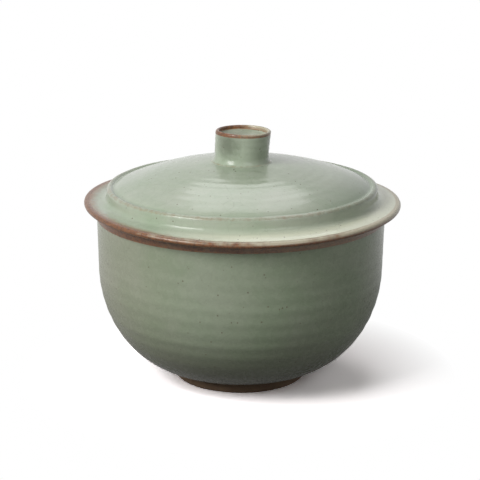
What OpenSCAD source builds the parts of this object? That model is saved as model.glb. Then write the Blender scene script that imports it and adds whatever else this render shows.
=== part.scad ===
// Covered donburi bowl: a wheel-thrown bowl on a foot ring, and a domed lid with a wide brim that lifts off.
// Millimetres. The origin is on the table, in the middle of the foot ring, with +Z up.

/* [Bowl] */
// Outside diameter of the upright wall, where the belly ends
bowl_d = 138.4; // [124:0.2:146]
// Height of the mouth rim above the table
bowl_h = 84.5; // [74:0.5:100]
// Thickness of the wall
wall_t = 4.6; // [3.6:0.1:6]
// Thickness of the floor
floor_t = 6; // [4.5:0.5:9]
// Height above the table at which the rounded belly turns upright
belly_h = 56; // [48:1:62]
// Diameter of the flat middle of the base, where the rounding of the belly starts
base_d = 53.5; // [48:0.5:60]
// How far the wall leans out between the belly and the mouth
wall_lean = 0.6; // [0:0.1:1.5]

/* [Bowl rim] */
// Height of the brown band that forms the mouth rim
bowl_rim_h = 4; // [3:0.2:7]
// Rounding of the rim's two top edges
bowl_rim_round = 1.4; // [0.8:0.1:1.7]

/* [Foot ring] */
// Outside diameter of the foot ring at its top
foot_d = 66.5; // [62:0.5:74]
// Height of the foot ring, which is also the depth of the recess inside it
foot_h = 5.2; // [4.8:0.1:8]
// Thickness of the foot ring
foot_t = 6.4; // [4.5:0.1:8]
// How much the outside of the foot ring draws in towards the table
foot_taper = 0.8; // [0:0.1:1.5]
// Bevel of the two edges that stand on the table
foot_bevel = 0.8; // [0.4:0.1:1.5]

/* [Lid] */
// How far the brim reaches beyond the bowl's mouth
brim_overhang = 7.3; // [6:0.1:16]
// Height of the dome, from the top of the brim's edge to the crown under the knob
dome_h = 20.4; // [17:0.2:26]
// How far the turned groove round the dome's shoulder lies inside the bowl's mouth
groove_inset = 3.5; // [2:0.1:5]
// Height of the groove above the brim's edge
groove_h = 8.4; // [7.5:0.1:9.5]
// Thickness of the dome
lid_t = 5; // [4:0.1:6]
// Width of the groove
groove_w = 1.8; // [1:0.1:2.4]
// Depth of the groove
groove_depth = 0.7; // [0.3:0.1:1]
// Radius of the bead between the groove and the flank
bead_r = 1.7; // [1.2:0.1:2]
// Radius of the hollow between the flank and the brim
gutter_r = 2.6; // [2:0.1:3]
// How much higher the brim lies at its root than at its edge
brim_fall = 1.6; // [0.8:0.1:2.2]

/* [Lid rim] */
// Thickness of the brim's edge
lid_rim_t = 2.8; // [2.2:0.1:4]
// Width of the brown band along the brim's edge
lid_rim_w = 2.6; // [2:0.1:4]

/* [Lid seat] */
// Gap between the lid's underside and the mouth rim
seat_gap = 0.3; // [0.2:0.05:0.5]
// Clearance all round between the locating ring and the mouth
seat_clearance = 1.4; // [1:0.1:2.5]
// Thickness of the locating ring
seat_ring_t = 4; // [3:0.1:5]
// How far the locating ring reaches down into the mouth
seat_ring_h = 6.5; // [5:0.5:10]
// Bevel of the locating ring's lower edges
seat_ring_bevel = 0.9; // [0.4:0.1:1.4]

/* [Knob] */
// Diameter of the knob at its waist
knob_d = 26; // [23:0.2:30]
// Diameter of the knob where it meets the dome
knob_base_d = 30; // [28:0.2:34]
// Height of the knob above the dome under it, up to its lip
knob_h = 15.5; // [13:0.1:20]
// How much wider the knob's lip is than its waist
knob_flare = 0.3; // [0.2:0.1:1.5]
// Depth of the dish in the top of the knob
knob_dish = 3; // [2:0.1:4]
// Width of the brown band round the knob's lip
knob_rim_w = 1.8; // [1.4:0.1:2.4]
// Height of the brown band round the knob's lip
knob_rim_h = 1.6; // [1.4:0.1:2.4]
// Height of the hollow curve at the foot of the knob
knob_root_h = 4; // [3:0.2:6]

/* [Hidden] */
$fn = 180;
glaze = "darkseagreen";
iron = "saddlebrown";
clay = "tan";

// Angle at which the bead rises out of the groove
bead_start = 150;

// Steps along one quarter of a small or of a large curve
small_steps = 5;
large_steps = 14;

// Radii and heights of the bowl
wall_r = bowl_d / 2;
mouth_out_r = wall_r + wall_lean;
mouth_in_r = mouth_out_r - wall_t;
base_r = base_d / 2;
foot_r = foot_d / 2;
floor_z = foot_h + floor_t;
bowl_rim_z = bowl_h - bowl_rim_h;

// The belly is an ellipse that passes through the foot ring's top edge
belly_w = wall_r - base_r;
belly_end = acos((foot_r - base_r) / belly_w);
belly_rise = (belly_h - foot_h) / sin(belly_end);

// Heights and radii of the lid
lid_z = bowl_h + seat_gap;
edge_z = lid_z + lid_rim_t;
crown_z = edge_z + dome_h;
lid_r = mouth_out_r + brim_overhang;
groove_r = mouth_in_r - groove_inset;
groove_z = edge_z + groove_h;
bead_x = groove_r + groove_w / 2 + bead_r;
flank_r = bead_x + bead_r;
brim_root_r = flank_r + gutter_r;
brim_root_z = edge_z + brim_fall;
lid_rim_r = lid_r - lid_rim_w;
seat_out_r = mouth_in_r - seat_clearance;
seat_in_r = seat_out_r - seat_ring_t;
seat_bottom_z = lid_z - seat_ring_h;

// The crown is a round cap from the middle to the groove, cut flat under the knob
cap_rise = crown_z - groove_z;
cap_r = (pow(groove_r, 2) + pow(cap_rise, 2)) / (2 * cap_rise);
knob_base_r = knob_base_d / 2;
knob_z = cap_z(knob_base_r);
knob_r = knob_d / 2;
knob_lip_r = knob_r + knob_flare;
knob_top_z = knob_z + knob_h;
knob_rim_z = knob_top_z - knob_rim_h;
knob_dish_r = knob_lip_r - knob_rim_w;

// Height of the crown at a distance r from the middle
function cap_z(r) = crown_z - cap_r + sqrt(pow(cap_r, 2) - pow(r, 2));

// Points along an ellipse about (x, z), from one angle to another, both ends included
function arc(x, z, a, b, from, to, steps) =
    [for (i = [0:steps]) let (t = from + (to - from) * i / steps) [x + a * cos(t), z + b * sin(t)]];

// Points along the crown, from a distance r1 to a distance r2 from the middle
function cap_arc(r1, r2, steps) =
    [for (i = [0:steps]) let (r = r1 + (r2 - r1) * i / steps) [r, cap_z(r)]];

// Turns a half outline, given as [distance from the axis, height], round the axis
module turned(outline) {
    rotate_extrude()
        polygon(outline);
}

// Thrown wall, belly and floor of the bowl, with a flat base over the foot ring
module bowl_body() {
    outside = arc(base_r, belly_h, belly_w, belly_rise, -belly_end, 0, large_steps);
    inside = arc(base_r, belly_h, belly_w - wall_t, belly_h - floor_z, 0, -90, large_steps);
    color(glaze)
        turned(concat(
            [[0, foot_h]], outside,
            [[mouth_out_r, bowl_rim_z], [mouth_in_r, bowl_rim_z]],
            inside, [[0, floor_z]]));
}

// Brown band that forms the mouth rim, flat on top, where the lid sits
module bowl_rim() {
    round_z = bowl_h - bowl_rim_round;
    color(iron)
        turned(concat(
            [[mouth_in_r, bowl_rim_z], [mouth_out_r, bowl_rim_z]],
            arc(mouth_out_r - bowl_rim_round, round_z, bowl_rim_round, bowl_rim_round, 0, 90, small_steps),
            arc(mouth_in_r + bowl_rim_round, round_z, bowl_rim_round, bowl_rim_round, 90, 180, small_steps)));
}

// Turned foot ring, bare clay where it stands on the table
module foot_ring() {
    out_r = foot_r - foot_taper;
    in_r = foot_r - foot_t;
    color(clay)
        turned([
            [in_r + foot_bevel, 0], [out_r - foot_bevel, 0], [out_r, foot_bevel],
            [foot_r, foot_h], [in_r, foot_h], [in_r, foot_bevel]]);
}

// Thrown dome and brim of the lid, hollow underneath, with a turned groove round the shoulder
module lid_shell() {
    hollow_top_z = crown_z - lid_t;
    groove = [
        [groove_r - groove_w / 2, cap_z(groove_r - groove_w / 2)],
        [groove_r, groove_z - groove_depth]];
    bead = arc(bead_x, groove_z - bead_r, bead_r, bead_r, bead_start, 0, 2 * small_steps);
    gutter = arc(brim_root_r, brim_root_z + gutter_r, gutter_r, gutter_r, 180, 270, small_steps);
    color(glaze)
        turned(concat(
            [[0, knob_z]], cap_arc(knob_base_r, groove_r - groove_w, large_steps),
            groove, bead, gutter,
            [[lid_rim_r, edge_z], [lid_rim_r, lid_z]],
            arc(0, lid_z, seat_in_r, hollow_top_z - lid_z, 0, 90, large_steps)));
}

// Locating ring under the lid, which drops into the mouth
module lid_seat_ring() {
    color(clay)
        turned([
            [seat_in_r, lid_z], [seat_in_r, seat_bottom_z + seat_ring_bevel],
            [seat_in_r + seat_ring_bevel, seat_bottom_z], [seat_out_r - seat_ring_bevel, seat_bottom_z],
            [seat_out_r, seat_bottom_z + seat_ring_bevel], [seat_out_r, lid_z]]);
}

// Brown band along the edge of the brim, with a round outer edge
module lid_rim() {
    round_r = lid_rim_t / 2;
    color(iron)
        turned(concat(
            [[lid_rim_r, lid_z]],
            arc(lid_r - round_r, lid_z + round_r, round_r, round_r, -90, 90, 2 * small_steps),
            [[lid_rim_r, edge_z]]));
}

// Stout knob, waisted above a hollow curve, with a dished top
module lid_knob() {
    root_w = knob_base_r - knob_r;
    color(glaze)
        turned(concat(
            [[0, knob_z]],
            arc(knob_base_r, knob_z + knob_root_h, root_w, knob_root_h, 270, 180, small_steps),
            [[knob_lip_r, knob_rim_z], [knob_dish_r, knob_rim_z]],
            arc(0, knob_rim_z, knob_dish_r, knob_dish - knob_rim_h, 0, -90, small_steps)));
}

// Brown band round the lip of the knob
module knob_rim() {
    round_r = knob_rim_w / 2;
    color(iron)
        turned(concat(
            [[knob_dish_r, knob_rim_z], [knob_lip_r, knob_rim_z]],
            arc(knob_lip_r - round_r, knob_top_z - round_r, round_r, round_r, 0, 180, 2 * small_steps)));
}

bowl_body();
foot_ring();
bowl_rim();
lid_shell();
lid_seat_ring();
lid_rim();
lid_knob();
knob_rim();
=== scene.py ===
# Looks of the lidded donburi bowl: thrown and glazed surfaces over the frame, a plain studio and a camera.
import math
from collections import namedtuple

import bmesh
import bpy
from mathutils import Matrix, Vector, noise


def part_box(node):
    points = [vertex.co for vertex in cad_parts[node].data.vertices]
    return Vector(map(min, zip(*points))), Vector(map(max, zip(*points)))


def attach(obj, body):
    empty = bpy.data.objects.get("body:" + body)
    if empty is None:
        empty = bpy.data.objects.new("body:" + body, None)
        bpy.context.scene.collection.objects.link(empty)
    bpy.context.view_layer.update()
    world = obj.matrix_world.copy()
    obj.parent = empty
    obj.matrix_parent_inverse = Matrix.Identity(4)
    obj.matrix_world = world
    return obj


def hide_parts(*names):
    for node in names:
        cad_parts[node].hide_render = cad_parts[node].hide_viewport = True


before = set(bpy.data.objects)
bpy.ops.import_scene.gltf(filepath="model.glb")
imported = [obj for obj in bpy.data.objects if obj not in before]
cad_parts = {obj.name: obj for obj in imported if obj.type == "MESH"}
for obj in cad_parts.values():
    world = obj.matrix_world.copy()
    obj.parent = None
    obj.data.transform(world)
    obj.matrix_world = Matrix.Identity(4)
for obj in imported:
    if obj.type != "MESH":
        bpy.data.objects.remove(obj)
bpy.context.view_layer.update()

MM = 0.001
TURNS = 300  # points round each thrown piece
STEP = 0.8 * MM  # spacing of the points along an outline

# Boxes of the frame's nodes
foot_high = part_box("foot_ring")[1]
mouth_low, mouth_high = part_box("bowl_rim")
seat_low, seat_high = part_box("lid_seat_ring")
brim_low, brim_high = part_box("lid_rim")
knob_low, knob_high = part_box("lid_knob")
lip_low, lip_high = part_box("knob_rim")
TOP = lip_high.z
BRIM_R = brim_high.x


def inner_radius(node, z):
    """Smallest distance from the axis of a node's corners at one height."""
    slack = 0.05 * MM
    return min(v.co.xy.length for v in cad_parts[node].data.vertices if abs(v.co.z - z) < slack)


# Sizes of the bowl
mouth_out_r = mouth_high.x
mouth_in_r = inner_radius("bowl_rim", mouth_low.z)
mouth_round = 1.4 * MM
wall_t = mouth_out_r - mouth_in_r
wall_lean = 0.6 * MM
wall_r = mouth_out_r - wall_lean
floor_t = 6 * MM
floor_z = foot_high.z + floor_t

# Sizes of the foot ring
foot_r = foot_high.x
foot_in_r = inner_radius("foot_ring", foot_high.z)
foot_taper = 0.8 * MM
foot_bevel = 0.8 * MM

# The belly is an ellipse that passes through the foot ring's top edge
base_r = 26.75 * MM
belly_z = 56 * MM
belly_w = wall_r - base_r
belly_end = math.degrees(math.acos((foot_r - base_r) / belly_w))
belly_rise = (belly_z - foot_high.z) / math.sin(math.radians(belly_end))

# Sizes of the lid and its locating ring
lid_z = brim_low.z
edge_z = brim_high.z
dome_h = 20.4 * MM
crown_z = edge_z + dome_h
lid_t = 5 * MM
groove_inset = 3.5 * MM
groove_r = mouth_in_r - groove_inset
groove_h = 8.4 * MM
groove_z = edge_z + groove_h
groove_w = 1.8 * MM
groove_depth = 0.7 * MM
bead_r = 1.7 * MM
bead_x = groove_r + groove_w / 2 + bead_r
bead_start = 150  # angle at which the bead rises out of the groove, in degrees
flank_r = bead_x + bead_r
gutter_r = 2.6 * MM
brim_root_r = flank_r + gutter_r
brim_fall = 1.6 * MM
brim_root_z = edge_z + brim_fall
lid_rim_r = inner_radius("lid_rim", edge_z)
lid_round = (edge_z - lid_z) / 2
seat_out_r = seat_high.x
seat_in_r = inner_radius("lid_seat_ring", lid_z)
seat_bevel = 0.9 * MM

# The crown is a round cap from the middle to the groove
cap_rise = crown_z - groove_z
cap_r = (groove_r ** 2 + cap_rise ** 2) / (2 * cap_rise)

# Sizes of the knob
knob_z = knob_low.z
knob_base_r = knob_high.x
knob_lip_r = lip_high.x
knob_flare = 0.3 * MM
knob_r = knob_lip_r - knob_flare
knob_root_h = 4 * MM
knob_rim_z = lip_low.z
knob_dish_r = inner_radius("knob_rim", knob_rim_z)
knob_dish = 3 * MM
lip_round = (knob_lip_r - knob_dish_r) / 2


# Lines, as points [distance from the axis, height]
def arc(x, z, a, b, start, end, steps):
    """Points along an ellipse about (x, z), angles in degrees, both ends included."""
    turns = [math.radians(start + (end - start) * i / steps) for i in range(steps + 1)]
    return [(x + a * math.cos(t), z + b * math.sin(t)) for t in turns]


def cap_z(r):
    """Height of the lid's crown at a distance r from the middle."""
    return crown_z - cap_r + math.sqrt(cap_r ** 2 - r ** 2)


def cap_arc(r0, r1, steps):
    """Points along the lid's crown from one distance from the middle to another."""
    return [(r0 + (r1 - r0) * i / steps, cap_z(r0 + (r1 - r0) * i / steps)) for i in range(steps + 1)]


def even(points):
    """The same line with points about STEP apart."""
    out = [points[0]]
    for (r0, z0), (r1, z1) in zip(points, points[1:]):
        count = max(1, round(math.hypot(r1 - r0, z1 - z0) / STEP))
        out += [(r0 + (r1 - r0) * i / count, z0 + (z1 - z0) * i / count) for i in range(1, count + 1)]
    return out


def closed(corners):
    """The closed line through the corners, with points about STEP apart."""
    return even(corners + corners[:1])[:-1]


def eased(points, rounds):
    """The same line with its corners worn round, both ends kept."""
    line = list(points)
    for _ in range(rounds):
        line = [line[0]] + [
            ((a[0] + 2 * b[0] + c[0]) / 4, (a[1] + 2 * b[1] + c[1]) / 4)
            for a, b, c in zip(line, line[1:], line[2:])] + [line[-1]]
    return line


def pooling(points, reach):
    """How much glaze gathers at each point: above 0 in hollows, below 0 where it runs off an edge."""
    too_short = 1e-9
    bends = []
    for i, (r, z) in enumerate(points):
        r0, z0 = points[max(0, i - 1)]
        r1, z1 = points[min(len(points) - 1, i + 1)]
        ahead, behind = Vector((r1 - r, z1 - z)), Vector((r - r0, z - z0))
        if ahead.length < too_short or behind.length < too_short:
            bends.append(0.0)
            continue
        bends.append(-behind.angle_signed(ahead) / STEP * MM)
    values = []
    for i in range(len(points)):
        near = range(max(0, i - reach), min(len(points), i + reach + 1))
        weights = [1 - abs(i - j) / (reach + 1) for j in near]
        values.append(sum(w * bends[j] for w, j in zip(weights, near)) / sum(weights))
    return values


def nearest(line, r, z):
    """Index of the point of a line that lies nearest to a place."""
    return min(range(len(line)), key=lambda i: math.hypot(line[i][0] - r, line[i][1] - z))


def parted(line, band_start, band_end, reach=3):
    """Parts an outline at its brown band, and closes both parts along the joint between them.

    Gives the outline of the glazed piece, the pooling along it, and the outline of the band. The pooling is
    taken over reach points to either side.
    """
    pool = pooling(line, reach)
    start, end = nearest(line, *band_start), nearest(line, *band_end)
    from_axis = even([(0.0, line[0][1]), line[0]])[:-1]
    joint = even([line[start], line[end]])[1:-1]
    glazed = from_axis + line[:start + 1] + joint + line[end:]
    gathered = [0.0] * len(from_axis) + pool[:start + 1] + [0.0] * len(joint) + pool[end:]
    return glazed, gathered, line[start:end + 1] + joint[::-1]


# Outlines of the pieces
def bowl_outline():
    """Outline of the bowl from the foot ring, up the outside and over the mouth, to the floor's middle."""
    outside = arc(base_r, belly_z, belly_w, belly_rise, -belly_end, 0, 60)
    inside = arc(base_r, belly_z, belly_w - wall_t, belly_z - floor_z, 0, -90, 60)
    top = mouth_high.z - mouth_round
    line = even([(foot_r, foot_high.z)] + outside[1:] + [(mouth_out_r, mouth_low.z)]
                + arc(mouth_out_r - mouth_round, top, mouth_round, mouth_round, 0, 90, 8)
                + arc(mouth_in_r + mouth_round, top, mouth_round, mouth_round, 90, 180, 8)
                + [(mouth_in_r, mouth_low.z)] + inside + [(0.0, floor_z)])
    return eased(line, 6)


def foot_outline():
    """Outline of the foot ring, bevelled where it stands."""
    stand_r = foot_r - foot_taper
    return closed([(foot_in_r + foot_bevel, 0.0), (stand_r - foot_bevel, 0.0), (stand_r, foot_bevel),
                   (foot_r, foot_high.z), (foot_in_r, foot_high.z), (foot_in_r, foot_bevel)])


def lid_outline():
    """Outline of the lid from the knob's root, over the brim, to the middle of the hollow."""
    groove_in_r = groove_r - groove_w / 2
    groove = [(groove_in_r, cap_z(groove_in_r)), (groove_r, groove_z - groove_depth)]
    line = even(cap_arc(knob_base_r, groove_r - groove_w, 48) + groove
                + arc(bead_x, groove_z - bead_r, bead_r, bead_r, bead_start, 0, 16)
                + arc(brim_root_r, brim_root_z + gutter_r, gutter_r, gutter_r, 180, 270, 10)
                + [(lid_rim_r, edge_z)]
                + arc(BRIM_R - lid_round, lid_z + lid_round, lid_round, lid_round, 90, -90, 12)
                + [(lid_rim_r, lid_z), (seat_in_r, lid_z)]
                + arc(0, lid_z, seat_in_r, crown_z - lid_t - lid_z, 0, 90, 60))
    return eased(line, 3)


def seat_outline():
    """Outline of the locating ring, bevelled at its lower edges."""
    bevel_z = seat_low.z + seat_bevel
    return closed([(seat_in_r, lid_z), (seat_in_r, bevel_z), (seat_in_r + seat_bevel, seat_low.z),
                   (seat_out_r - seat_bevel, seat_low.z), (seat_out_r, bevel_z), (seat_out_r, lid_z)])


def knob_outline():
    """Outline of the knob from its root on the crown to the middle of its dish."""
    root_w = knob_base_r - knob_r
    line = even(arc(knob_base_r, knob_z + knob_root_h, root_w, knob_root_h, 270, 180, 12)
                + [(knob_lip_r, knob_rim_z)]
                + arc(knob_lip_r - lip_round, TOP - lip_round, lip_round, lip_round, 0, 180, 12)
                + [(knob_dish_r, knob_rim_z)]
                + arc(0, knob_rim_z, knob_dish_r, knob_dish - (TOP - knob_rim_z), 0, -90, 20))
    return eased(line, 2)


# The potter's hand, with its depths in millimetres
def smooth(x):
    """0 below 0, 1 above 1, and an even swing between them."""
    x = min(1.0, max(0.0, x))
    return x * x * (3 - 2 * x)


def hill(x, centre, width):
    """A smooth hill of height 1 about a centre."""
    return math.exp(-((x - centre) / width) ** 2)


def lobes(turn, *waves):
    """Sum of slow waves round the axis, each given as (how many, depth, phase)."""
    return sum(depth * math.cos(count * turn + phase) for count, depth, phase in waves)


def throwing_rings(along, pitch, turn):
    """Ridges that climb one pitch in each turn of the wheel."""
    return math.sin(2 * math.pi * along / pitch + turn)


def unevenness(turn, spread, level):
    """Slow random dents, read off a noise along a circle of radius spread at one level in it."""
    return noise.noise(Vector((math.cos(turn) * spread, math.sin(turn) * spread, level)))


def bowl_relief(r, z, turn):
    """How far the potter's hand left the bowl from true, as (outward, upward)."""
    ring_pitch, ring_middle, ring_reach = 6.2 * MM, belly_z - 11 * MM, 42 * MM
    dent_spread, dent_height = 1.6, 22 * MM
    mouth_start, mouth_fade = mouth_high.z - 14.5 * MM, 15 * MM
    inner_share = 0.6  # how deep in the wall its inner side begins
    height = smooth(z / mouth_high.z)
    inside = r < wall_r - wall_t * inner_share and z > floor_z
    ring_depth = 0.13 if inside else 0.05
    rings = ring_depth * throwing_rings(z, ring_pitch, turn) * smooth(1 - abs(z - ring_middle) / ring_reach)
    out = height * lobes(turn, (2, 0.30, 0.7), (3, 0.16, 2.1)) + rings
    out += 0.14 * unevenness(turn, dent_spread, z / dent_height) * height
    rise = lobes(turn, (2, 0.12, 1.9)) * smooth((z - mouth_start) / mouth_fade)
    return out * MM, rise * MM


def lid_relief(r, z, turn):
    """How far the potter's hand left the lid from true, as (outward, upward)."""
    ring_pitch, ring_middle, ring_width = 5.4 * MM, flank_r - 26 * MM, 18 * MM
    lean_middle, lean_width = flank_r - 12 * MM, 17 * MM
    shift_start, brim_start, fade = flank_r - 6 * MM, flank_r + 2 * MM, 8 * MM
    dent_width, dent_level = 18 * MM, 4.0
    upper_start, upper_fade, crown_fade = edge_z - 1 * MM, 2 * MM, 30 * MM
    out = lobes(turn, (2, 0.25, 2.6), (3, 0.2, 0.4))
    out += lobes(turn, (1, 0.5, 0.0)) * smooth((r - shift_start) / fade)
    above = smooth((z - upper_start) / upper_fade)
    rise = lobes(turn, (1, 0.85, 0.0)) * hill(r, lean_middle, lean_width)
    rise += 0.05 * throwing_rings(r, ring_pitch, turn) * hill(r, ring_middle, ring_width)
    rise += 0.16 * unevenness(turn, r / dent_width, dent_level)
    brim = (0.8 + lobes(turn, (2, 0.85, 0.0), (1, -0.3, 0.0))) * smooth((r - brim_start) / fade)
    return out * smooth(r / crown_fade) * MM, (rise * above + brim) * MM


def knob_relief(r, z, turn):
    """How far the potter's hand left the knob from true, as (outward, upward)."""
    ring_pitch, root_fade = 2.9 * MM, 6 * MM
    height = smooth((z - knob_z) / root_fade)
    out = lobes(turn, (2, 0.22, 1.2), (3, 0.12, 3.0)) + 0.06 * throwing_rings(z, ring_pitch, turn)
    lean = lobes(turn, (1, 1.1, 0.0)) * (z - knob_z) / (TOP - knob_z) * smooth(r / knob_r)
    rise = lobes(turn, (1, 0.14, 2.4))
    return (out * height + lean) * MM, rise * height * MM


# Meshes
def mark_sharp(mesh, limit=50):
    """Marks the edges where two faces meet at a steep angle, so that joints between pieces stay crisp."""
    work = bmesh.new()
    work.from_mesh(mesh)
    bmesh.ops.recalc_face_normals(work, faces=work.faces)
    for edge in work.edges:
        if len(edge.link_faces) == 2 and edge.calc_face_angle() > math.radians(limit):
            edge.smooth = False
    work.to_mesh(mesh)
    work.free()


def thrown(name, outline, relief, pool=None):
    """Turns a closed outline round the axis, with the potter's hand in it; the glaze reads the pooling."""
    axis_slack = 0.02 * MM
    corners, gathered, rings = [], [], []
    for (r, z), glaze in zip(outline, pool or [0.0] * len(outline)):
        on_axis = r < axis_slack
        ring = []
        for k in range(1 if on_axis else TURNS):
            turn = 2 * math.pi * k / TURNS
            out, up = relief(0.0 if on_axis else r, z, turn)
            reach = 0.0 if on_axis else r + out
            ring.append(len(corners))
            corners.append((reach * math.cos(turn), reach * math.sin(turn), z + up))
            gathered.append(glaze)
        rings.append(ring)
    faces = []
    for a, b in zip(rings, rings[1:] + rings[:1]):
        if len(a) == len(b) == 1:
            continue
        for k in range(TURNS):
            m = (k + 1) % TURNS
            if len(a) == 1:
                faces.append((a[0], b[k], b[m]))
            elif len(b) == 1:
                faces.append((a[k], b[0], a[m]))
            else:
                faces.append((a[k], b[k], b[m], a[m]))
    mesh = bpy.data.meshes.new(name)
    mesh.from_pydata(corners, [], faces)
    mesh.validate()
    mesh.update()
    mesh.shade_smooth()
    mesh.attributes.new("pooling", "FLOAT", "POINT").data.foreach_set("value", gathered)
    mark_sharp(mesh)
    piece = bpy.data.objects.new(name, mesh)
    bpy.context.scene.collection.objects.link(piece)
    return piece


# Helpers for node materials
def shader(name):
    """A new node material, with its node tree and its main shader."""
    material = bpy.data.materials.new(name)
    material.use_nodes = True
    tree = material.node_tree
    return material, tree, tree.nodes["Principled BSDF"]


def add(tree, kind, **values):
    """Adds a node; sockets are set by name, with spaces written as underscores."""
    node = tree.nodes.new("ShaderNode" + kind)
    for key, value in values.items():
        socket = key.replace("_", " ")
        if socket in node.inputs:
            node.inputs[socket].default_value = value
        else:
            setattr(node, key, value)
    return node


def ramp(tree, source, low, high, to_low=0.0, to_high=1.0):
    """Maps a value from one range to another, held at both ends."""
    node = add(tree, "MapRange", From_Min=low, From_Max=high, To_Min=to_low, To_Max=to_high, clamp=True)
    tree.links.new(source, node.inputs["Value"])
    return node.outputs["Result"]


def math_node(tree, operation, a, b=0.0):
    """One arithmetic node; each side is a socket or a number."""
    node = add(tree, "Math", operation=operation)
    for slot, side in zip(node.inputs, (a, b)):
        if isinstance(side, (int, float)):
            slot.default_value = side
        else:
            tree.links.new(side, slot)
    return node.outputs[0]


def plus(tree, a, b):
    """Sum of two sockets or numbers."""
    return math_node(tree, "ADD", a, b)


def minus(tree, a, b):
    """One socket or number less another."""
    return math_node(tree, "SUBTRACT", a, b)


def times(tree, a, b):
    """Product of two sockets or numbers."""
    return math_node(tree, "MULTIPLY", a, b)


def larger(tree, a, b):
    """The larger of two sockets or numbers."""
    return math_node(tree, "MAXIMUM", a, b)


def linear(colour):
    """Linear values of an sRGB colour given as 0 to 255."""
    parts = [c / 255 for c in colour]
    return tuple(c / 12.92 if c <= 0.04045 else ((c + 0.055) / 1.055) ** 2.4 for c in parts)


def mix(tree, factor, a, b):
    """Mixes two colours, each a socket or an sRGB colour: a where the factor is 0, b where it is 1."""
    first, second, result = 6, 7, 2  # the node's colour sockets
    node = add(tree, "Mix", data_type="RGBA")
    tree.links.new(factor, node.inputs["Factor"])
    for slot, side in ((first, a), (second, b)):
        if isinstance(side, tuple):
            node.inputs[slot].default_value = (*linear(side), 1)
        else:
            tree.links.new(side, node.inputs[slot])
    return node.outputs[result]


def mix_shaders(tree, factor, a, b):
    """Mixes two shaders: a where the factor is 0, b where it is 1."""
    node = add(tree, "MixShader")
    for socket, slot in zip((factor, a, b), node.inputs):
        tree.links.new(socket, slot)
    return node.outputs[0]


Place = namedtuple("Place", "spot x y z across")


def place(tree):
    """Position on the surface, its parts, and its distance from the axis, all in millimetres."""
    scaled = add(tree, "VectorMath", operation="SCALE", Scale=1 / MM)
    tree.links.new(add(tree, "TexCoord").outputs["Object"], scaled.inputs[0])
    parts = add(tree, "SeparateXYZ")
    tree.links.new(scaled.outputs[0], parts.inputs[0])
    x, y, z = parts.outputs
    across = math_node(tree, "SQRT", plus(tree, times(tree, x, x), times(tree, y, y)))
    return Place(scaled.outputs[0], x, y, z, across)


def noise_at(tree, spot, scale, detail=3.0, rough=0.55, warp=0.0):
    """A noise texture over the surface; scale is in features per millimetre."""
    node = add(tree, "TexNoise", Scale=scale, Detail=detail, Roughness=rough, Distortion=warp)
    tree.links.new(spot, node.inputs["Vector"])
    return node.outputs["Fac"]


def cells(tree, spot, scale, feature="F1"):
    """Distances in a field of cells over the surface; scale is in cells per millimetre."""
    node = add(tree, "TexVoronoi", feature=feature, Scale=scale)
    tree.links.new(spot, node.inputs["Vector"])
    return node.outputs["Distance"]


def bump(tree, principled, *layers):
    """Stacks bump layers, each (height socket, depth in millimetres)."""
    last = None
    for height, depth in layers:
        node = add(tree, "Bump", Distance=depth * MM, Strength=1.0)
        tree.links.new(height, node.inputs["Height"])
        if last:
            tree.links.new(last, node.inputs["Normal"])
        last = node.outputs["Normal"]
    tree.links.new(last, principled.inputs["Normal"])


# Colours, as sRGB values from 0 to 255
LID_BODY = (180, 188, 170)
BOWL_BODY = (153, 162, 141)
# deep green of pooled glaze, also used as painted shade on the lid's far shoulder
CELADON_THICK_AND_SHADE = (112, 132, 104)
BASE_DARK = (92, 94, 76)
BOWL_PAINTED_LIGHT = (166, 161, 144)
BRIM_PAINTED_LIGHT = (228, 231, 208)
CRACKLE = (92, 96, 74)
KNOB_DARK_PATCH = (74, 78, 62)
COVER_AND_HIGHLIGHT = (196, 190, 164)
IRON = (144, 96, 60)
IRON_DEEP = (78, 49, 31)
CLAY_PALE = (128, 104, 82)
CLAY_DARK = (96, 74, 56)
SAND = (160, 138, 112)
GROG = (52, 38, 30)


def flashed_and_lit(tree, at):
    """1 on the left, towards the kiln's fire, where the iron burned through, and towards the key light; -1
    on the far side.
    """
    # also used to place painted light and painted shade by the side towards or away from the key light
    fire_light_x, fire_light_y = -0.995, 0.10
    along = plus(tree, times(tree, at.x, fire_light_x), times(tree, at.y, fire_light_y))
    return math_node(tree, "DIVIDE", along, larger(tree, at.across, 1.0))


def cloud_noise(tree, at):
    """Wide soft clouds in the glaze."""
    return noise_at(tree, at.spot, 0.035, detail=4.0, rough=0.6, warp=0.4)


def mottle_noise(tree, at):
    """Fine mottling of the glaze."""
    return noise_at(tree, at.spot, 0.35, detail=5.0, rough=0.65)


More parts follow.
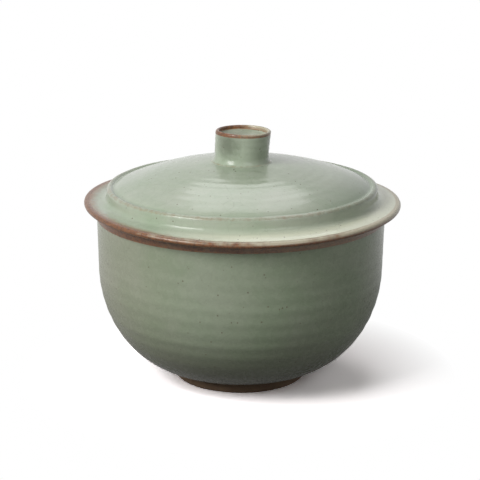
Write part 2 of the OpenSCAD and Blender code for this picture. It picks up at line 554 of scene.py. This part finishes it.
def lid_breaks(tree, colour, at):
    """Adds the lid's pools, painted shade on the shoulder away from the key light, painted light on the
    brim, the brown that creeps in over it, and a dark patch below the knob's lip.
    """
    root, flank, edge = knob_base_r / MM, flank_r / MM, BRIM_R / MM  # in millimetres, as the nodes are
    fire_light = flashed_and_lit(tree, at)
    uneven = times(tree, minus(tree, mottle_noise(tree, at), 0.5), 5.0)
    colour = mix(tree, ramp(tree, at.across, root + 7, root, 0.0, 0.12), colour, CELADON_THICK_AND_SHADE)
    # painted shade: the shoulder on the far side from the key light is darkened towards the deep green
    shoulder = times(tree, ramp(tree, at.across, flank - 20, flank - 6),
                     ramp(tree, at.across, flank + 3, flank - 1))
    painted_shade = ramp(tree, fire_light, -0.55, -1.0, 0.0, 0.6)
    colour = mix(tree, times(tree, painted_shade, shoulder), colour, CELADON_THICK_AND_SHADE)
    # painted light: the brim is paled to near white, most on the front and right
    brim_painted_light = times(tree, ramp(tree, fire_light, 0.5, -0.1), ramp(tree, at.across, flank, flank + 4))
    colour = mix(tree, brim_painted_light, colour, BRIM_PAINTED_LIGHT)
    creep = plus(tree, at.across, plus(tree, times(tree, fire_light, 4.5), uneven))
    colour = mix(tree, ramp(tree, creep, edge - 3.3, edge + 0.9, 0.0, 0.85), colour, IRON)

    # a dark patch on the knob's front left, just below its lip
    patch_turn, patch_drop = math.radians(237.5), 5.3 * MM
    patch_core, patch_reach = 2.5, 9.0
    patch_spot = Vector((knob_r * math.cos(patch_turn), knob_r * math.sin(patch_turn), TOP - patch_drop))
    gap = add(tree, "VectorMath", operation="DISTANCE")
    tree.links.new(at.spot, gap.inputs[0])
    gap.inputs[1].default_value = patch_spot / MM
    near = plus(tree, gap.outputs["Value"], uneven)
    return mix(tree, ramp(tree, near, patch_reach, patch_core, 0.0, 0.6), colour, KNOB_DARK_PATCH)


def bowl_breaks(tree, colour, at):
    """Adds painted light on the bowl's side towards the key light, and painted shade darkening its base,
    with a drifting edge.
    """
    dark_top, dark_full = belly_z / MM - 12, floor_z / MM + 2.8  # in millimetres, as the nodes are
    # painted light: the side towards the key light is paler and greyer
    colour = mix(tree, ramp(tree, flashed_and_lit(tree, at), 0.2, 0.9, 0.0, 0.5), colour, BOWL_PAINTED_LIGHT)
    # painted shade: the bowl darkens towards the bottom under its belly, with a drifting edge
    drift = plus(tree, at.z, times(tree, cloud_noise(tree, at), 10.0))
    return mix(tree, ramp(tree, drift, dark_top, dark_full), colour, BASE_DARK)


def celadon(name, body, sheen, breaks):
    """Grey-green glaze: deeper where it pools, rusty where it runs thin, with iron specks and crackle."""
    material, tree, principled = shader(name)
    at = place(tree)
    mottle = mottle_noise(tree, at)
    cloudy = tuple(c - d for c, d in zip(body, (14, 8, 14)))
    milky = tuple(c + 12 for c in body)
    colour = mix(tree, ramp(tree, cloud_noise(tree, at), 0.35, 0.68), body, cloudy)
    colour = mix(tree, ramp(tree, mottle, 0.45, 0.75, 0.0, 0.35), colour, milky)

    pool = add(tree, "Attribute", attribute_name="pooling", attribute_type="GEOMETRY").outputs["Fac"]
    thick = ramp(tree, plus(tree, pool, times(tree, mottle, 0.06)), 0.06, 0.30, 0.0, 0.35)
    colour = mix(tree, thick, colour, CELADON_THICK_AND_SHADE)
    uneven = times(tree, minus(tree, mottle, 0.5), 0.22)
    thin = ramp(tree, plus(tree, pool, uneven), -0.17, -0.34)
    colour = mix(tree, thin, colour, IRON)
    colour = breaks(tree, colour, at)

    specks = ramp(tree, cells(tree, at.spot, 0.34), 0.16, 0.09)
    chosen = ramp(tree, noise_at(tree, at.spot, 0.21, detail=2.0), 0.52, 0.60, 0.0, 0.75)
    colour = mix(tree, times(tree, specks, chosen), colour, IRON_DEEP)
    crackle = ramp(tree, cells(tree, at.spot, 0.17, "DISTANCE_TO_EDGE"), 0.0, 0.018, 0.16, 0.0)
    colour = mix(tree, crackle, colour, CRACKLE)
    tree.links.new(colour, principled.inputs["Base Color"])
    tree.links.new(ramp(tree, mottle, 0.3, 0.8, *sheen), principled.inputs["Roughness"])
    principled.inputs["Specular IOR Level"].default_value = 0.3

    waves = noise_at(tree, at.spot, 0.16, detail=2.0)
    orange_peel = noise_at(tree, at.spot, 0.8, detail=2.0)
    pits = ramp(tree, cells(tree, at.spot, 0.52), 0.0, 0.12)
    bump(tree, principled, (waves, 0.09), (orange_peel, 0.004), (pits, 0.008))
    return material


def iron_rim(name):
    """Iron-brown glaze that breaks out along an edge, pale in patches on top, partly where the green still
    covers it and partly a painted highlight.
    """
    material, tree, principled = shader(name)
    at = place(tree)
    streaks = noise_at(tree, at.spot, 0.9, detail=4.0, rough=0.6)
    colour = mix(tree, ramp(tree, streaks, 0.35, 0.7), IRON, IRON_DEEP)
    patches = noise_at(tree, at.spot, 0.12, detail=4.0, rough=0.6)
    patches = minus(tree, patches, times(tree, flashed_and_lit(tree, at), 0.30))
    facing = add(tree, "SeparateXYZ")
    tree.links.new(add(tree, "TexCoord").outputs["Normal"], facing.inputs[0])
    # pale on upward faces, more on the far side from the fire: partly green cover, partly painted highlight
    on_top = ramp(tree, facing.outputs["Z"], -0.1, 0.5)
    covered_and_lit = times(tree, ramp(tree, patches, 0.38, 0.66, 0.0, 0.85), on_top)
    colour = mix(tree, covered_and_lit, colour, COVER_AND_HIGHLIGHT)
    tree.links.new(colour, principled.inputs["Base Color"])
    tree.links.new(ramp(tree, streaks, 0.3, 0.8, 0.24, 0.42), principled.inputs["Roughness"])
    bump(tree, principled, (noise_at(tree, at.spot, 0.3), 0.06), (noise_at(tree, at.spot, 1.6), 0.02))
    return material


def bare_clay(name):
    """Unglazed stoneware: sandy, with turning lines and grog."""
    material, tree, principled = shader(name)
    spot = place(tree).spot
    clouds = noise_at(tree, spot, 0.09, detail=4.0)
    grain = noise_at(tree, spot, 2.6, detail=4.0, rough=0.7)
    colour = mix(tree, ramp(tree, clouds, 0.35, 0.7), CLAY_PALE, CLAY_DARK)
    colour = mix(tree, ramp(tree, grain, 0.5, 0.75, 0.0, 0.5), colour, SAND)
    colour = mix(tree, ramp(tree, cells(tree, spot, 0.8), 0.14, 0.06, 0.0, 0.6), colour, GROG)
    tree.links.new(colour, principled.inputs["Base Color"])
    tree.links.new(ramp(tree, grain, 0.3, 0.8, 0.62, 0.85), principled.inputs["Roughness"])
    lines = add(tree, "TexWave", wave_type="RINGS", rings_direction="Z", Scale=0.42, Distortion=0.6,
                Detail=2.0)
    tree.links.new(spot, lines.inputs["Vector"])
    bump(tree, principled, (lines.outputs["Fac"], 0.05), (grain, 0.05))
    return material


LID_GLAZE = celadon("lid_celadon", LID_BODY, (0.15, 0.27), lid_breaks)
BOWL_GLAZE = celadon("bowl_celadon", BOWL_BODY, (0.22, 0.34), bowl_breaks)
RIM_GLAZE = iron_rim("iron_edge")
CLAY = bare_clay("stoneware")


# Pieces of the object
def finish_piece(piece, material, body, node):
    """Gives a piece its material and body, and lets it stand for its CAD node."""
    piece.data.materials.append(material)
    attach(piece, body)
    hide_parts(node)


def build_bowl():
    """Bowl wall with its brown mouth rim, and the bare foot ring under it."""
    line, pool, band = parted(bowl_outline(), (mouth_out_r, mouth_low.z), (mouth_in_r, mouth_low.z))
    wall = thrown("bowl_wall", line, bowl_relief, pool)
    finish_piece(wall, BOWL_GLAZE, "bowl", "bowl_body")
    rim = thrown("mouth_rim", band, bowl_relief)
    finish_piece(rim, RIM_GLAZE, "bowl", "bowl_rim")
    foot = thrown("foot", foot_outline(), bowl_relief)
    finish_piece(foot, CLAY, "bowl", "foot_ring")


def build_lid():
    """Lid dome and brim with its brown edge, and the bare locating ring under it."""
    line, pool, band = parted(lid_outline(), (lid_rim_r, edge_z), (lid_rim_r, lid_z))
    dome = thrown("lid_dome", line, lid_relief, pool)
    finish_piece(dome, LID_GLAZE, "lid", "lid_shell")
    rim = thrown("brim_edge", band, lid_relief)
    finish_piece(rim, RIM_GLAZE, "lid", "lid_rim")
    seat = thrown("seat_ring", seat_outline(), lid_relief)
    finish_piece(seat, CLAY, "lid", "lid_seat_ring")


def build_knob():
    """Knob with its dished top and the brown line round its lip."""
    line, pool, band = parted(knob_outline(), (knob_lip_r, knob_rim_z), (knob_dish_r, knob_rim_z), reach=2)
    knob = thrown("knob", line, knob_relief, pool)
    finish_piece(knob, LID_GLAZE, "lid", "lid_knob")
    lip = thrown("knob_lip", band, knob_relief)
    finish_piece(lip, RIM_GLAZE, "lid", "knob_rim")


# Studio
def sweep(tree, across, colour, glow, near, far):
    """A pale floor, lit by the lamps nearer than near and plain white beyond far, both in millimetres."""
    lit = add(tree, "AddShader")
    tree.links.new(add(tree, "BsdfDiffuse", Color=colour).outputs[0], lit.inputs[0])
    tree.links.new(add(tree, "Emission", Strength=glow).outputs[0], lit.inputs[1])
    white = add(tree, "Emission", Strength=1.0)
    return mix_shaders(tree, ramp(tree, across, near, far), lit.outputs[0], white.outputs[0])


def seen_by_surfaces(tree, ray):
    """1 for rays that glossy or clear surfaces send out."""
    return larger(tree, ray.outputs["Is Glossy Ray"], ray.outputs["Is Transmission Ray"])


def build_floor():
    """Floor that shows as white and keeps the object's shadow; seen from below it is clear.

    The camera sees it brighter than any real floor, so that all of it but the shadow comes out white.
    The object mirrors a pale floor, and is lit from below by a dim one.
    """
    reach = 4.0
    mesh = bpy.data.meshes.new("studio_floor")
    mesh.from_pydata([(-reach, -reach, 0), (reach, -reach, 0), (reach, reach, 0), (-reach, reach, 0)], [],
                     [(0, 1, 2, 3)])
    floor = bpy.data.objects.new("studio_floor", mesh)
    bpy.context.scene.collection.objects.link(floor)
    material = bpy.data.materials.new("white_sweep")
    material.use_nodes = True
    tree = material.node_tree
    tree.nodes.clear()
    ray = add(tree, "LightPath")
    across = place(tree).across
    dim = add(tree, "BsdfDiffuse", Color=(0.14, 0.14, 0.13, 1))
    mirrored = sweep(tree, across, (0.45, 0.44, 0.43, 1), glow=0.08, near=120.0, far=360.0)
    seen = sweep(tree, across, (2.05, 1.96, 1.97, 1), glow=0.0, near=62.0, far=108.0)
    clear = add(tree, "BsdfTransparent")
    shown = mix_shaders(tree, seen_by_surfaces(tree, ray), dim.outputs[0], mirrored)
    shown = mix_shaders(tree, ray.outputs["Is Camera Ray"], shown, seen)
    shown = mix_shaders(tree, add(tree, "NewGeometry").outputs["Backfacing"], shown, clear.outputs[0])
    tree.links.new(shown, add(tree, "OutputMaterial").inputs["Surface"])
    mesh.materials.append(material)


def build_world():
    """Even dim light from all round, white where the camera or a reflection sees it."""
    world = bpy.data.worlds.new("studio")
    bpy.context.scene.world = world
    world.use_nodes = True
    tree = world.node_tree
    tree.nodes.clear()
    ray = add(tree, "LightPath")
    dim = add(tree, "Background", Color=(1, 1, 1, 1), Strength=0.05)
    white = add(tree, "Background", Color=(1, 1, 1, 1), Strength=1.0)
    seen = larger(tree, ray.outputs["Is Camera Ray"], seen_by_surfaces(tree, ray))
    shown = mix_shaders(tree, seen, dim.outputs[0], white.outputs[0])
    tree.links.new(shown, add(tree, "OutputWorld").inputs["Surface"])


def area_light(name, azimuth, elevation, power, size=0.5):
    """A square soft light, in watts and metres; azimuth is in degrees to the left of the camera's side."""
    distance = 1.1
    lamp = bpy.data.lights.new(name, "AREA")
    lamp.shape = "RECTANGLE"
    lamp.size = lamp.size_y = size
    lamp.energy = power
    light = bpy.data.objects.new(name, lamp)
    side, lift = math.radians(azimuth), math.radians(elevation)
    aim = Vector((0, 0, TOP / 2))
    toward = Vector((-math.cos(lift) * math.sin(side), -math.cos(lift) * math.cos(side), math.sin(lift)))
    light.location = aim + distance * toward
    light.rotation_euler = (-toward).to_track_quat("-Z", "Y").to_euler()
    bpy.context.scene.collection.objects.link(light)
    return light


def build_lights():
    """A large key light to the left, a dimmer one to the right of the camera, and two dim ones behind."""
    area_light("key", azimuth=50, elevation=33, power=10.1)
    area_light("fill", azimuth=-30, elevation=30, power=2.2)
    area_light("back", azimuth=180, elevation=52, power=2.0)
    rear = area_light("rear", azimuth=180, elevation=6, power=1.8, size=0.3)
    rear.visible_glossy = False


def build_camera():
    """Camera at the photograph's viewing angle; the picture is 480 by 480 points."""
    picture = 480
    brim_half_px = 158.2  # half the width of the brim in the photograph
    axis_x_px, brim_y_px = 241, 200.5  # where the middle of the brim lies in the photograph
    distance = 0.80
    elevation, roll = 14.3, 0.3  # degrees
    camera = bpy.data.cameras.new("camera")
    camera.sensor_width = 36
    camera.lens = brim_half_px / BRIM_R * distance / picture * camera.sensor_width
    camera.shift_x = (picture / 2 - axis_x_px) / picture
    camera.shift_y = (brim_y_px - picture / 2) / picture
    view = bpy.data.objects.new("camera", camera)
    lift = math.radians(elevation)
    view.location = Vector((0, -distance * math.cos(lift), edge_z + distance * math.sin(lift)))
    turn = Matrix.Rotation(math.pi / 2 - lift, 3, "X") @ Matrix.Rotation(math.radians(roll), 3, "Z")
    view.rotation_euler = turn.to_euler()
    bpy.context.scene.collection.objects.link(view)
    bpy.context.scene.camera = view


build_bowl()
build_lid()
build_knob()
build_floor()
build_world()
build_lights()
build_camera()
bpy.context.scene.view_settings.view_transform = "Standard"
